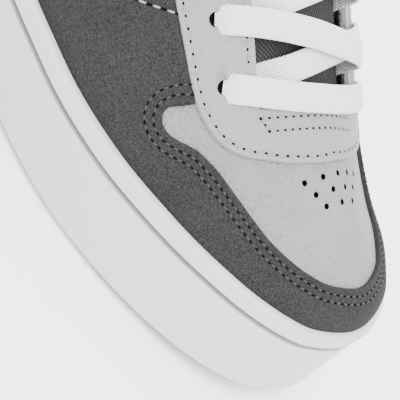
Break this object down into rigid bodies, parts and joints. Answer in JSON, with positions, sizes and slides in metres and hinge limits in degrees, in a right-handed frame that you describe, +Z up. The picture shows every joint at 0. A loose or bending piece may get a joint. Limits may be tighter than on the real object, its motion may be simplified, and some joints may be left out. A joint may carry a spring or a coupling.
{
  "type": "low-top skateboarding shoe",
  "caption": "Low right skateboarding shoe with a rubber cupsole, grey leather upper, dark suede toe guard and flat white laces",
  "frame": {"origin": "on the floor under the middle of the shoe's outline", "axes": "+X points to the toe, +Y to the wearer's left, which is the inner side of this right shoe, +Z up"},
  "size_m": [0.3031, 0.1056, 0.1147],
  "materials": {
    "white_rubber": "matt moulded rubber",
    "grey_leather": "fine grained, light grey",
    "dark_suede": "napped suede",
    "tongue_mesh": "knitted mesh over foam",
    "lining_fabric": "padded textile",
    "insole_fabric": "cloth on foam",
    "white_lace": "flat woven"
  },
  "bodies": {
    "root": {"cupsole": "white_rubber", "insole": "insole_fabric", "upper": "grey_leather", "mudguard": "dark_suede", "heel_counter": "dark_suede", "eyestay": "grey_leather", "collar_lining": "lining_fabric", "tongue": "tongue_mesh", "lace_bar": "white_lace", "lace_cross_1": "white_lace", "lace_cross_2": "white_lace", "lace_cross_3": "white_lace", "lace_cross_4": "white_lace", "lace_cross_5": "white_lace"}
  },
  "joints": []
}
